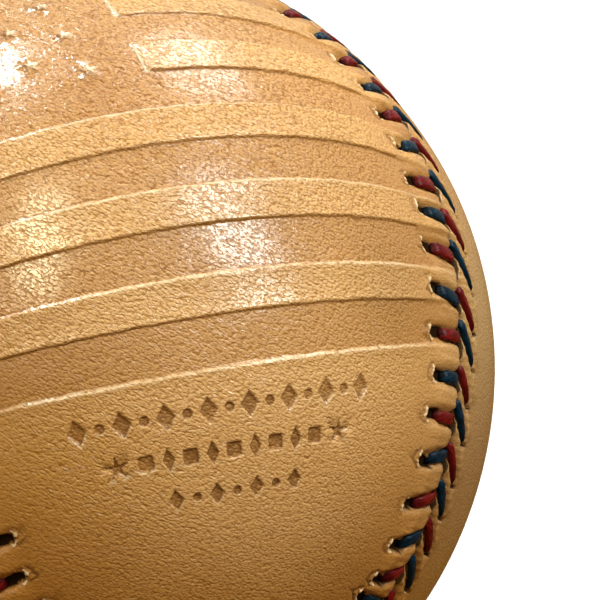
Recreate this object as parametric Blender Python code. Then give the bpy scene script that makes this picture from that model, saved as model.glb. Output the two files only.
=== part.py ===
"""Baseball: a cushioned cork centre, four windings, two leather covers and two lacing threads."""
import math

import bmesh
import bpy
import numpy as np
from mathutils import Euler, Vector, geometry

# Cushioned cork centre, sizes in metres
CORK_RADIUS = 0.01032
BLACK_RUBBER_THICKNESS = 0.00367
RED_RUBBER_THICKNESS = 0.00208
WASHER_THICKNESS = 0.0010
JOINT_GAP = 0.0003

# Windings, from the centre out
INNER_WOOL_THICKNESS = 0.01293
MIDDLE_WOOL_THICKNESS = 0.0017
OUTER_WOOL_THICKNESS = 0.0021
FINE_YARN_THICKNESS = 0.0006
YARN_PASSAGE_RADIUS = 0.0008
LAYER_GAP = 0.0003

# Leather cover
COVER_THICKNESS = 0.0013
EDGE_THICKNESS = 0.00095
FRONT_HOLE_INSET = 0.0046
BACK_HOLE_INSET = 0.0034
COVER_GRID = 0.0068

# Lacing threads and their stitches
STITCH_PAIRS = 60
STITCH_PHASE = 0.342
THREAD_WIDTH = 0.0011
THREAD_THICKNESS = 0.0005
THREAD_CLEARANCE = 0.0002
HOLE_CLEARANCE = 0.0003
DIVE_SPACING = 0.0006
FRONT_HOLE_LEAD = 0.00095
BACK_HOLE_LEAD = 0.00264

# Shape of the seam: weights of the higher waves in its closed curve
SEAM_PLAN_3 = 0.591
SEAM_PLAN_5 = 0.192
SEAM_RISE_2 = 0.785
SEAM_RISE_6 = 0.141

# How the seam is turned in the ball's frame, in degrees about X, Y and Z
SEAM_TURN_X = 158.53
SEAM_TURN_Y = -21.89
SEAM_TURN_Z = -17.02

# Facets of the hidden round pieces
SEGMENTS = 16
RINGS = 8
SEAM_SAMPLES = 2400

# Radii and lengths that follow from the values above
BLACK_INNER = CORK_RADIUS + LAYER_GAP
BLACK_OUTER = BLACK_INNER + BLACK_RUBBER_THICKNESS
RED_INNER = BLACK_OUTER + LAYER_GAP
RED_OUTER = RED_INNER + RED_RUBBER_THICKNESS
WOOL_1_INNER = RED_OUTER + LAYER_GAP
WOOL_1_OUTER = WOOL_1_INNER + INNER_WOOL_THICKNESS
WOOL_2_INNER = WOOL_1_OUTER + LAYER_GAP
WOOL_2_OUTER = WOOL_2_INNER + MIDDLE_WOOL_THICKNESS
WOOL_3_INNER = WOOL_2_OUTER + LAYER_GAP
WOOL_3_OUTER = WOOL_3_INNER + OUTER_WOOL_THICKNESS
FINE_INNER = WOOL_3_OUTER + LAYER_GAP
FINE_OUTER = FINE_INNER + FINE_YARN_THICKNESS
COVER_INNER = FINE_OUTER + LAYER_GAP
BALL_RADIUS = COVER_INNER + COVER_THICKNESS
EDGE_INNER = FINE_OUTER + THREAD_THICKNESS + 2 * THREAD_CLEARANCE
EDGE_OUTER = EDGE_INNER + EDGE_THICKNESS
THREAD_LOW = FINE_OUTER + THREAD_CLEARANCE + THREAD_THICKNESS / 2
THREAD_HIGH = EDGE_OUTER + THREAD_CLEARANCE + THREAD_THICKNESS / 2
SEAM_HALF_GAP = THREAD_THICKNESS / 2 + HOLE_CLEARANCE
HOLE_HALF_ALONG = THREAD_WIDTH / 2 + HOLE_CLEARANCE
HOLE_HALF_ACROSS = THREAD_THICKNESS / 2 + HOLE_CLEARANCE
DIVE_OFFSET = (THREAD_WIDTH + DIVE_SPACING) / 2
STITCHES = 2 * STITCH_PAIRS

FRONT, BACK = -1, 1


def clear_scene():
    for item in list(bpy.data.objects):
        bpy.data.objects.remove(item, do_unlink=True)


def material(name, colour, roughness):
    mat = bpy.data.materials.new(name)
    mat.use_nodes = True
    node = mat.node_tree.nodes["Principled BSDF"]
    node.inputs["Base Color"].default_value = (*colour, 1.0)
    node.inputs["Roughness"].default_value = roughness
    return mat


def add_object(name, bm, mat):
    bmesh.ops.recalc_face_normals(bm, faces=bm.faces)
    mesh = bpy.data.meshes.new(name)
    bm.to_mesh(mesh)
    bm.free()
    mesh.materials.append(mat)
    item = bpy.data.objects.new(name, mesh)
    bpy.context.scene.collection.objects.link(item)
    return item


# Round pieces, all with the same facets so that nested layers stay parallel
def polar(radius, polar_angle, turn):
    flat = radius * math.sin(polar_angle)
    return Vector((flat * math.cos(turn), flat * math.sin(turn), radius * math.cos(polar_angle)))


def ring_angles(start, stop):
    step = math.pi / RINGS
    inside = [i * step for i in range(1, RINGS) if start + step / 4 < i * step < stop - step / 4]
    return [start] + inside + [stop]


def turns():
    return [2 * math.pi * i / SEGMENTS for i in range(SEGMENTS)]


def ball(name, radius, mat):
    bm = bmesh.new()
    top = bm.verts.new((0, 0, radius))
    low = bm.verts.new((0, 0, -radius))
    rows = [[bm.verts.new(polar(radius, a, t)) for t in turns()] for a in ring_angles(0, math.pi)[1:-1]]
    skin_rows(bm, rows)
    fan(bm, top, rows[0])
    fan(bm, low, rows[-1])
    return add_object(name, bm, mat)


def skin_rows(bm, rows):
    for first, second in zip(rows, rows[1:]):
        for i in range(SEGMENTS):
            j = (i + 1) % SEGMENTS
            bm.faces.new((first[i], first[j], second[j], second[i]))


def fan(bm, tip, row):
    for i in range(SEGMENTS):
        bm.faces.new((tip, row[i], row[(i + 1) % SEGMENTS]))


def winding(name, inner, outer, mat):
    """A wound layer with the small passage where the yarn below comes up through it."""
    bm = bmesh.new()
    shells = []
    for radius in (outer, inner):
        angles = ring_angles(math.asin(YARN_PASSAGE_RADIUS / radius), math.pi)[:-1]
        rows = [[bm.verts.new(polar(radius, a, t)) for t in turns()] for a in angles]
        low = bm.verts.new((0, 0, -radius))
        skin_rows(bm, rows)
        fan(bm, low, rows[-1])
        shells.append(rows[0])
    skin_rows(bm, shells)
    return add_object(name, bm, mat)


def cap_shell(name, inner, outer, rim, sign, mat):
    """Half shell that ends on a level plane, a rim's height above or below the middle."""
    bm = bmesh.new()
    rims = []
    for radius in (outer, inner):
        angles = ring_angles(0, math.acos(rim / radius))[1:]
        rows = [[bm.verts.new(polar(radius, a, t)) for t in turns()] for a in angles]
        top = bm.verts.new((0, 0, radius))
        skin_rows(bm, rows)
        fan(bm, top, rows[0])
        rims.append(rows[-1])
    skin_rows(bm, rims)
    if sign < 0:
        for vert in bm.verts:
            vert.co.z = -vert.co.z
    return add_object(name, bm, mat)


def side_shell(name, inner, outer, rim, sign, mat):
    """Half shell that ends on an upright plane, a rim's width to one side of the middle."""
    bm = bmesh.new()
    half = SEGMENTS // 2
    angles = ring_angles(0, math.pi)[1:-1]
    sweep = [-math.pi / 2 + 2 * math.pi * i / SEGMENTS for i in range(half + 1)]
    edges = []
    for radius in (outer, inner):
        top = bm.verts.new((rim, 0, radius))
        low = bm.verts.new((rim, 0, -radius))
        rows = []
        for a in angles:
            row = [bm.verts.new(polar(radius, a, t)) for t in sweep]
            row[0].co.x = rim
            row[-1].co.x = rim
            rows.append(row)
        for first, second in zip(rows, rows[1:]):
            for i in range(half):
                bm.faces.new((first[i], first[i + 1], second[i + 1], second[i]))
        for i in range(half):
            bm.faces.new((top, rows[0][i], rows[0][i + 1]))
            bm.faces.new((low, rows[-1][i], rows[-1][i + 1]))
        edges.append([top] + [r[0] for r in rows] + [low] + [r[-1] for r in reversed(rows)])
    count = len(edges[0])
    for i in range(count):
        j = (i + 1) % count
        bm.faces.new((edges[0][i], edges[0][j], edges[1][j], edges[1][i]))
    for vert in bm.verts:
        vert.co.x *= sign
    return add_object(name, bm, mat)


def washer(name, inner, outer, thickness, mat):
    bm = bmesh.new()
    corners = ((outer, thickness / 2), (inner, thickness / 2), (inner, -thickness / 2), (outer, -thickness / 2))
    rows = [[bm.verts.new((r * math.cos(t), r * math.sin(t), z)) for t in turns()] for r, z in corners]
    skin_rows(bm, rows + rows[:1])
    return add_object(name, bm, mat)


# The seam: a closed curve on a unit ball, with places on it given by their length along it
class Seam:
    def __init__(self):
        t = np.linspace(0, 2 * math.pi, SEAM_SAMPLES, endpoint=False)
        raw = np.stack([
            np.cos(t) + SEAM_PLAN_3 * np.cos(3 * t) + SEAM_PLAN_5 * np.cos(5 * t),
            np.sin(t) - SEAM_PLAN_3 * np.sin(3 * t) + SEAM_PLAN_5 * np.sin(5 * t),
            SEAM_RISE_2 * np.sin(2 * t) + SEAM_RISE_6 * np.sin(6 * t)], axis=1)
        self.line = raw / np.linalg.norm(raw, axis=1)[:, None]
        steps = np.linalg.norm(np.roll(self.line, -1, 0) - self.line, axis=1) * BALL_RADIUS
        self.length = float(steps.sum())
        self.along = np.concatenate([[0.0], np.cumsum(steps)])
        self.closed = np.vstack([self.line, self.line[:1]])
        self.pitch = self.length / STITCHES
        angles = [math.radians(a) for a in (SEAM_TURN_X, SEAM_TURN_Y, SEAM_TURN_Z)]
        self.turn = np.array(Euler(angles, "XYZ").to_matrix())

    def on_line(self, s):
        s = s % self.length
        point = np.array([np.interp(s, self.along, self.closed[:, i]) for i in range(3)])
        return point / np.linalg.norm(point)

    def axes(self, s, w):
        """Outward, along-the-seam and across-the-seam directions at a place beside the seam."""
        centre = self.on_line(s)
        ahead = self.on_line(s + self.pitch / 20) - self.on_line(s - self.pitch / 20)
        ahead -= centre * ahead.dot(centre)
        ahead /= np.linalg.norm(ahead)
        aside = np.cross(centre, ahead)
        angle = w / BALL_RADIUS
        out = centre * math.cos(angle) + aside * math.sin(angle)
        across = aside * math.cos(angle) - centre * math.sin(angle)
        return out, ahead, across

    def stitch(self, index):
        return (index + STITCH_PHASE) * self.pitch


def grid_points(seam, side, margin):
    """Evenly spread places on one cover, all at least a margin in from the seam."""
    count = int(4 * math.pi / (0.866 * (COVER_GRID / BALL_RADIUS) ** 2))
    golden = math.pi * (3 - math.sqrt(5))
    places = []
    ahead = np.roll(seam.line, -1, 0) - np.roll(seam.line, 1, 0)
    aside = np.cross(seam.line, ahead)
    limit = math.cos(margin / BALL_RADIUS)
    for i in range(count):
        z = 1 - 2 * (i + 0.5) / count
        flat = math.sqrt(1 - z * z)
        place = np.array([flat * math.cos(i * golden), flat * math.sin(i * golden), z])
        nearness = seam.line @ place
        nearest = int(np.argmax(nearness))
        if nearness[nearest] < limit and aside[nearest].dot(place) * side > 0:
            places.append(place)
    return places


def cover(name, seam, side, inset, lead, mat):
    """One leather cover: a thin shell bounded by the seam, with a lacing hole for every stitch."""
    places = []
    loops = []
    ring = []
    for k in range(STITCHES):
        ring.append(len(places))
        places.append(seam.axes(seam.stitch(k), side * SEAM_HALF_GAP)[0])
    loops.append(ring)
    for k in range(STITCHES):
        hole = []
        for da, dw in ((-1, -1), (1, -1), (1, 1), (-1, 1)):
            hole.append(len(places))
            s = seam.stitch(k) + lead + da * HOLE_HALF_ALONG
            places.append(seam.axes(s, side * (inset + dw * HOLE_HALF_ACROSS))[0])
        loops.append(hole)
    edge_count = len(places)
    places += grid_points(seam, side, inset + HOLE_HALF_ACROSS + COVER_GRID * 0.5)

    # Flatten with a projection that keeps circles, so that the flat triangles suit the ball
    flat = [Vector((p[0] / (1 + side * p[2]), p[1] / (1 + side * p[2]))) for p in places]
    edges = [(loop[i], loop[(i + 1) % len(loop)]) for loop in loops for i in range(len(loop))]
    result = geometry.delaunay_2d_cdt(flat, edges, [], 1, 1e-7)
    source = [ids[0] for ids in result[3]]
    holes = {v: n for n, loop in enumerate(loops) if n for v in loop}
    faces = []
    for face in result[2]:
        tri = [source[v] for v in face]
        owners = {holes.get(v, -1 - v) for v in tri}
        if len(owners) > 1:
            faces.append(tri)

    bm = bmesh.new()
    shells = []
    for edge_radius, radius in ((EDGE_OUTER, BALL_RADIUS), (EDGE_INNER, COVER_INNER)):
        verts = []
        for i, p in enumerate(places):
            verts.append(bm.verts.new(seam.turn @ p * (edge_radius if i < edge_count else radius)))
        for tri in faces:
            bm.faces.new([verts[v] for v in tri])
        shells.append(verts)
    for a, b in edges:
        bm.faces.new((shells[0][a], shells[0][b], shells[1][b], shells[1][a]))
    return add_object(name, bm, mat)


def thread(name, seam, first, mat):
    """One lacing thread: over a cover, down the seam, under the other cover and up its next hole."""
    sections = []

    def section(s, w, radius, normal_angle):
        out, ahead, across = seam.axes(s, w)
        centre = out * radius
        wide = ahead * THREAD_WIDTH / 2
        angle = math.radians(normal_angle)
        thick = (across * math.cos(angle) + out * math.sin(angle)) * THREAD_THICKNESS / math.sqrt(2)
        corners = (centre + wide + thick, centre - wide + thick, centre - wide - thick, centre + wide - thick)
        sections.append([seam.turn @ c for c in corners])

    for pair in range(STITCH_PAIRS):
        k = first - 2 * pair
        front_hole = seam.stitch(k) + FRONT_HOLE_LEAD
        front_dive = seam.stitch(k) + DIVE_OFFSET
        back_hole = seam.stitch(k - 1) + BACK_HOLE_LEAD
        back_dive = seam.stitch(k - 1) - DIVE_OFFSET
        section(front_hole, FRONT * FRONT_HOLE_INSET, THREAD_LOW, 225)
        section(front_hole, FRONT * FRONT_HOLE_INSET, THREAD_HIGH, 135)
        section(front_dive, 0, THREAD_HIGH, 45)
        section(front_dive, 0, THREAD_LOW, 45)
        section(back_hole, BACK * BACK_HOLE_INSET, THREAD_LOW, 135)
        section(back_hole, BACK * BACK_HOLE_INSET, THREAD_HIGH, 225)
        section(back_dive, 0, THREAD_HIGH, 315)
        section(back_dive, 0, THREAD_LOW, 315)

    bm = bmesh.new()
    rows = [[bm.verts.new(c) for c in corners] for corners in sections]
    for n, row in enumerate(rows):
        after = rows[(n + 1) % len(rows)]
        for i in range(4):
            j = (i + 1) % 4
            bm.faces.new((row[i], row[j], after[j], after[i]))
    return add_object(name, bm, mat)


def build():
    clear_scene()
    cork = material("cork", (0.55, 0.36, 0.20), 0.85)
    black = material("black_rubber", (0.02, 0.02, 0.02), 0.6)
    red = material("red_rubber", (0.45, 0.04, 0.03), 0.6)
    grey_wool = material("grey_wool", (0.32, 0.32, 0.33), 0.95)
    white_wool = material("white_wool", (0.80, 0.78, 0.72), 0.95)
    fine_yarn = material("fine_yarn", (0.85, 0.84, 0.80), 0.9)
    leather = material("tan_leather", (0.40, 0.21, 0.07), 0.45)
    red_wax = material("red_waxed_thread", (0.30, 0.02, 0.025), 0.4)
    blue_wax = material("blue_waxed_thread", (0.01, 0.03, 0.07), 0.4)

    ball("cork_core", CORK_RADIUS, cork)
    rim = WASHER_THICKNESS / 2 + JOINT_GAP
    cap_shell("black_shell_upper", BLACK_INNER, BLACK_OUTER, rim, 1, black)
    cap_shell("black_shell_lower", BLACK_INNER, BLACK_OUTER, rim, -1, black)
    washer("rubber_washer", BLACK_INNER, BLACK_OUTER, WASHER_THICKNESS, red)
    side_shell("red_shell_right", RED_INNER, RED_OUTER, JOINT_GAP / 2, 1, red)
    side_shell("red_shell_left", RED_INNER, RED_OUTER, JOINT_GAP / 2, -1, red)
    winding("wool_winding_inner", WOOL_1_INNER, WOOL_1_OUTER, grey_wool)
    winding("wool_winding_middle", WOOL_2_INNER, WOOL_2_OUTER, white_wool)
    winding("wool_winding_outer", WOOL_3_INNER, WOOL_3_OUTER, grey_wool)
    winding("fine_yarn_winding", FINE_INNER, FINE_OUTER, fine_yarn)

    seam = Seam()
    cover("front_cover", seam, FRONT, FRONT_HOLE_INSET, FRONT_HOLE_LEAD, leather)
    cover("back_cover", seam, BACK, BACK_HOLE_INSET, BACK_HOLE_LEAD, leather)
    thread("red_thread", seam, 0, red_wax)
    thread("blue_thread", seam, 1, blue_wax)


build()
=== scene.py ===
from collections import namedtuple
from math import atan, copysign, cos, pi, radians, sin, sqrt

import bpy
import numpy as np
from mathutils import Euler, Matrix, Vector, geometry


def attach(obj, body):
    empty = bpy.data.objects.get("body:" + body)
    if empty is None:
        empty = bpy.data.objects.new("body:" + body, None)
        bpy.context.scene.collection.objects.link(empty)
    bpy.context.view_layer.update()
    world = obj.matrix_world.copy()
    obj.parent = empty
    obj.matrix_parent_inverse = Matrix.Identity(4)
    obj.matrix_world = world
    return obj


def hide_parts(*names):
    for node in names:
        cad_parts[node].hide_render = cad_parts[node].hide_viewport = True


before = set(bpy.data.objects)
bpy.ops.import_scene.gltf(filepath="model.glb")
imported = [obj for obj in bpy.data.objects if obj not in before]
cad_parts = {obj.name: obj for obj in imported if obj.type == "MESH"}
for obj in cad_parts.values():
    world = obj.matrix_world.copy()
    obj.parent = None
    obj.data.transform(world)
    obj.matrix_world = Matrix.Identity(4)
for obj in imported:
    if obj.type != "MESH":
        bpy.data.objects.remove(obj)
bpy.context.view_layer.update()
studio = bpy.context.scene

MM = 0.001
FRONT, BACK = -1, 1

# The ball. Lengths are millimetres, except in the materials, the lights and the camera.
RADIUS = 36.8
EDGE_INNER = 36.1
COVER_INNER = 35.5
UNDER_EDGE = EDGE_INNER - RADIUS
DEGREE = radians(1) * RADIUS

# Seam curve and its turn in the ball's frame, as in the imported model
SEAM_PLAN_3, SEAM_PLAN_5 = 0.591, 0.192
SEAM_RISE_2, SEAM_RISE_6 = 0.785, 0.141
SEAM_TURN = (158.53, -21.89, -17.02)

# Stitches: the holes' lead along the seam and inset, where the thread dives, and how these vary
STITCHES = 120
STITCH_PHASE = 0.342
FRONT_HOLE, BACK_HOLE = (1.0, 4.65), (2.85, 3.25)
FRONT_DIVE, BACK_DIVE = 0.85, -0.45
PLACE_SPREAD, FRONT_INSET_SPREAD = 0.10, 0.14
WIDTH_SPREAD, PUFF_SPREAD, LEAN_SPREAD = 0.05, 0.12, 0.12
FLAP_RANGE = (0.6, 1.3)

# Stitches in view: number, then lead, inset and dive in front, and dive, lead and inset behind
SEEN_STITCHES = [
    (113, 1.17, 4.37, 0.95, -0.30, 2.40, 3.20),
    (114, 0.99, 4.20, 0.84, -0.60, 2.40, 3.40),
    (115, 1.06, 4.52, 0.89, -0.60, 2.50, 3.40),
    (116, 0.85, 4.40, 0.60, -0.60, 2.30, 3.60),
    (117, 0.99, 4.63, 0.45, -0.55, 2.30, 3.30),
    (118, 1.16, 5.00, 0.97, -0.65, 2.70, 3.70),
    (119, 0.52, 4.84, 0.69, -0.23, 2.81, 3.45),
    (0, 0.53, 5.10, 0.76, -0.70, 3.05, 3.70),
    (1, 0.74, 4.94, 1.26, 0.02, 3.29, 3.34),
    (2, 1.15, 4.90, 0.95, -0.46, 3.19, 3.05),
    (3, 1.13, 4.38, 1.10, 0.00, 3.04, 2.60),
    (4, 0.99, 4.65, 1.06, -0.48, 2.95, 2.99),
    (5, 1.37, 4.47, 0.60, -0.29, 3.14, 2.92),
    (6, 2.00, 4.70, 0.81, -0.47, 2.67, 2.64),
    (7, 2.40, 4.20, 0.78, -0.50, 2.30, 3.20),
    (8, 2.40, 3.90, 0.85, -0.60, 2.20, 3.40),
    (23, 1.10, 4.95, 0.85, -0.45, 2.85, 3.25),
    (24, 1.00, 3.85, 0.85, -0.45, 2.85, 3.25),
]

# Thread; a leg's entry is how far inside its hole it comes up
THREAD_LOW = 35.65
THREAD_HALF_WIDTH, THREAD_HALF_THICKNESS = 0.52, 0.27
WIDTH_POWER, THICKNESS_POWER = 0.62, 0.8
THREAD_STEP, THREAD_SIDES = 0.28, 16
PLIES, PLY_LENGTH, PLY_BULGE = 3, 1.25, 0.045
Leg = namedtuple("Leg", "entry deep lift sag across width hole_width rise_width shade")
LEGS = {FRONT: Leg(1.85, 0.80, 0.02, 0.10, -0.35, 1.0, 0.90, 1.0, 0.15),
        BACK: Leg(0.35, 0.5, 0.0, 0.0, 0.05, 0.80, 0.45, 0.62, 0.55)}
HOLE_SHADE, DIVE_SHADE, LOW_SHADE = 1.4, 0.10, 1.0
DIVE_WIDTH, LOW_WIDTH = 0.95, 0.66
BEND_AT_HOLE, BEND_AT_DIVE, BEND_IN_FRONT, MOST_BEND = 0.50, 0.36, 0.85, 0.45
BEND_PLACES = 7
LONG_RUN, TOP_RUN = 2.0, RADIUS - 0.3
RUN_WIDER, RUN_HIGHER = 0.12, 0.05

# Sewn edge of a cover: grooves under the thread, holes, flaps and swells
LEG_DEPTH, LEG_REACH = 0.36, 0.66
TOUCH_REACH = 0.60
EDGE_SET = {FRONT: (0.24, 0.75, 0.20), BACK: (0.20, 0.08, 0.0)}
Hole = namedtuple("Hole", "near_end far_end half_width flap")
HOLES = {FRONT: Hole(-1.95, 0.16, 0.46, 1.0), BACK: Hole(-LEGS[BACK].entry, 0.70, 0.15, 0.30)}
HOLE_DEPTH, HOLE_FLOOR = 0.85, UNDER_EDGE + 0.05
HOLE_SIDE, PIT_SIDE = (0.80, 1.06), (1.00, 1.16)
FLAP_AT, FLAP_HEIGHT = (1.36, 0.19), 0.12
RIDGE_AT, RIDGE_DEPTH = (1.86, 0.15), 0.14
PILLOW_LOW, PILLOW_HIGH = 0.02, 0.25
EDGE_DIP = 0.06
BACK_SWELL = 0.28
PUCKER, PUCKER_REACH = 0.055, (2.2, 5.4)

# Mesh of a cover: a sewn strip in columns and rows, and a grid of points over the rest
STRIP_WIDTH = 5.8
COLUMNS, COLUMNS_FINE, COLUMN_REACH = 16, 24, 0.22
COLUMN_CROWD = {FRONT: (0.95, 1.6), BACK: (1.9, 0.0)}
ROWS, ROW_REACH, ROW_GAIN = 25, 0.20, 1.6
ROW_CROWD = {FRONT: 0.74, BACK: 0.5}
ROLL, ROLL_ANGLES = {FRONT: 0.42, BACK: 0.22}, (0, 25, 50, 72, 90)
RIM, RIM_PALE = {FRONT: 0.06, BACK: 0.02}, {FRONT: 0.75, BACK: 0.45}
UNDER_ROWS, CUT_DROP = (0.8, 0.05), -0.62
FLOOR_STEP, FLOOR_STEPS = 0.02, 3
GRID, GRID_MARGIN, GRID_GAP = 0.95, 0.45, 0.5
MARK_MARGIN, MARK_GAP = 0.25, 0.04
PACKING, CELL_PRIMES = 0.866, (73856093, 19349663, 83492791)
FLESH_ROWS, FLESH_SKIP = (3.0, 5.0, 6.6), 8
FLESH_GRID, FLESH_START, FLESH_THICKENS = 2.6, 8.0, (5.2, 6.6)
SHARES = ("sunk", "crease", "crest", "pit_shade", "raw", "near")

# Embossed stripes: a polar axis, then latitudes of the sunk bands in degrees
STRIPE_TILT, STRIPE_TURN = 37.595, 117.442
STRIPE_MIDDLE, STRIPE_REACH = 26.5, 62.0
STRIPE_BEND = 8e-5
BAND_COUNT = 7
BAND_LOW, BAND_LOW_STEP = -25.2, 11.73
BAND_HIGH, BAND_HIGH_STEP = -18.7, 11.6
CANTON_EDGE = 28.6
CANTON_BAND, TOP_BAND = 3, BAND_COUNT - 1
HOIST_EDGE, FLY_EDGE = -34.5, 118.0
SINK = 0.20
STEP_HALF, STEP_SOFT = 0.12, 0.16
FAR = -99.0
END_REACH, SHADED_REACH = 0.3, 0.6

# Marks at an embossed edge: middle and width by distance inside the sunk side, and strength
FOOT, FOOT_DEPTH = (0.04, 0.075), 0.035
SWELL, SWELL_HEIGHT = (-0.24, 0.18), 0.04
# the creases below are painted shade lines, partly stain, and the crests painted highlights
DARK_CREASE, CREASE_START = (0.02, 0.07), -0.4
LIGHT_CREASE, LIGHT_CREASE_SHARE = (0.17, 0.055), 0.80
CREST, CREST_SHARE = (-0.10, 0.15), 0.66
END_CREST, END_CREST_SHARE = (-0.02, 0.075), 2.6

# Marks at a stamp by its own measure, which is 1 at the outline
PRESSED_SIDE, PRESSED_EDGE, PRESSED_RIM = (0.86, 1.12), (0.88, 0.12), (1.15, 0.09)
# the rim and star lights are painted highlights, and the star's dark is painted shade
EDGE_DARK, FLOOR_DARK, RIM_LIGHT = 1.35, 0.95, 0.80
STAR_FOOT, STAR_SLOPE, STAR_EDGE, STAR_DARK = 1.10, 0.9, (0.85, 0.25), 0.9
STAR_LIGHT, STAR_LIGHT_WAY = (0.4, 2.2), (0.75, 0.66)

# Slow waves over the ball that make edges uneven and the edge lines and their painted shade come and
# go, and quick ones for the puckers
EDGE_WAVES = (0.022, (61.0, 37.0, -45.0)), (0.020, (-130.0, 95.0, 110.0))
LINE_WAVES = (58.0, -92.0, 71.0), (-37.0, 64.0, 88.0)
PUCKER_WAVES = (190.0, -130.0, 160.0), (-110.0, 210.0, 150.0)

# Rows and rings of mesh points along the embossing
EDGE_ROWS = (-0.48, -0.28, -0.17, -0.09, -0.03, 0.03, 0.09, 0.16, 0.23, 0.31, 0.50)
EDGE_STEP, ROW_PAST = 0.42, 0.3
HALF_BAND_STEP = 6
STAR_RINGS = (0.45, 0.80, 0.92, 1.04, 1.18)
PRESSED_RINGS = (0.45, 0.80, 0.92, 1.04, 1.16, 1.36)
RING_POINTS, STAR_RING_POINTS = 24, 40

# Star grid in the sunk corner, in degrees, and the size and rise of a star
STAR_RIGHT, STAR_COLUMN = 20.3, 6.75
STAR_LOW, STAR_ROW, STAR_STAGGER = 17.9, 7.36, 3.1
STAR_LEAN, STAR_LEVEL = 0.17, 23.0
STAR_ROWS, STAR_COLUMNS = 4, 8
STAR_SIZE, STAR_RISE = 1.15, 0.28
STAR_POINTS, STAR_NOTCH = 5, 0.33

# Plain ornament below the stripes: latitude, middle longitude, spacing and count of a row, then the
# stamps that take turns in it: kind, half width, half height and rise
ORNAMENT = [
    (-30.2, 28.4, 3.2, 15, [("lozenge", 0.78, 1.05, -0.24), ("dot", 0.40, 0.40, -0.20)]),
    (-35.6, 28.6, 3.5, 9, [("bar", 0.62, 0.62, -0.22), ("lozenge", 0.50, 0.95, -0.22)]),
    (-35.6, 10.2, 0.0, 1, [("star", 0.98, 0.98, -0.26)]),
    (-35.6, 47.0, 0.0, 1, [("star", 0.98, 0.98, -0.26)]),
    (-40.9, 28.8, 3.5, 7, [("lozenge", 0.62, 0.85, -0.22), ("dot", 0.36, 0.36, -0.22)]),
]

# Painted shade and uneven tan: a shaded deeper side, and broad spots, partly tan and partly painted
# light and shade, by direction, reach in ball radii and tint
SHADED_UNDERSIDE = (-0.20, -0.10, -0.97)
TAN_LIGHT_AND_SHADE_SPOTS = [
    ((0.488, -0.858, 0.162), 0.60, (1.15, 1.22, 1.38)),
    ((0.656, -0.200, 0.728), 0.42, (1.20, 1.21, 1.20)),
    ((0.757, -0.595, -0.271), 0.42, (0.78, 0.70, 0.54)),
    ((-0.013, -1.000, -0.013), 0.42, (0.84, 0.76, 0.50)),
    ((0.390, -0.774, 0.498), 0.30, (0.82, 0.81, 0.80)),
    ((0.100, -0.600, 0.790), 0.26, (0.89, 0.83, 0.76)),
    ((0.967, -0.190, 0.160), 0.40, (0.90, 1.04, 1.30)),
    ((0.932, -0.323, -0.167), 0.42, (0.76, 0.81, 1.00)),
    ((0.753, -0.578, 0.313), 0.22, (0.84, 0.84, 0.80)),
]

# Colours of the leather, its marks, the threads and the layers inside; grain of the rubber
# the grain tones carry painted light and shade by slope as well as the grain's own tone
GRAIN_AND_PAINTED_SHADE_TONES = [(0.05, (0.325, 0.145, 0.033)), (0.5, (0.63, 0.328, 0.096)), (0.95, (0.84, 0.52, 0.198))]
PATCH_TONES = [(0.25, (0.90, 0.86, 0.80)), (0.5, (0.98, 0.98, 0.98)), (0.78, (1.0, 1.0, 1.0))]
# painted shade, darker and warmer towards the underside
UNDERSIDE_SHADE_TONES = [(0.12, (1.0, 1.0, 1.0)), (0.42, (0.77, 0.64, 0.33)), (0.80, (0.88, 0.80, 0.62))]
SUNK_TINT = (0.80, 0.73, 0.63)
# a painted highlight for the crests, and the creases' dark, partly stain and partly painted shade
CREST_HIGHLIGHT, CREASE_STAIN_AND_SHADE = (0.98, 0.82, 0.53), (0.17, 0.068, 0.018)
# frayed and cracked raw leather, and painted shade in the holes and on the cut faces
FRAYED, CRACKED, PIT_SHADE_COLOUR = (0.90, 0.68, 0.38), (0.10, 0.040, 0.012), (0.012, 0.006, 0.003)
RED_WAX = (0.048, 0.002, 0.0020), (0.160, 0.006, 0.006), (0.42, 0.022, 0.017)
BLUE_WAX = (0.0007, 0.0055, 0.0085), (0.0016, 0.0175, 0.033), (0.005, 0.066, 0.135)
THREAD_SHADOW = (0.003, 0.002, 0.002)
CORK = (0.30, 0.16, 0.07), (0.55, 0.35, 0.18), (0.68, 0.48, 0.28)
BLACK_RUBBER = (0.012, 0.012, 0.012), (0.03, 0.03, 0.03)
RED_RUBBER = (0.36, 0.03, 0.02), (0.50, 0.05, 0.035)
RUBBER = 2500.0, 0.5, 0.00004
GREY_WOOL = (0.16, 0.16, 0.17), (0.34, 0.34, 0.35), (0.50, 0.50, 0.50)
WHITE_WOOL = (0.58, 0.55, 0.48), (0.78, 0.75, 0.68), (0.88, 0.86, 0.80)
FINE_YARN = (0.66, 0.64, 0.58), (0.84, 0.82, 0.77), (0.92, 0.91, 0.88)
FLOOR_TONES = [(0.3, (0.90, 0.90, 0.90)), (0.7, (0.93, 0.93, 0.93))]

rng = np.random.RandomState(7)


def smooth(lo, hi, x):
    t = np.clip((x - lo) / (hi - lo), 0.0, 1.0)
    return t * t * (3 - 2 * t)


def hump(x, middle, width):
    """A bell of height 1."""
    return np.exp(-((x - middle) / width) ** 2)


def unit(v):
    return v / np.linalg.norm(v, axis=-1, keepdims=True)


def square_to(normal, v):
    """The direction of v's part that is square to a normal."""
    return unit(v - normal * (v * normal).sum(-1)[..., None])


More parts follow.
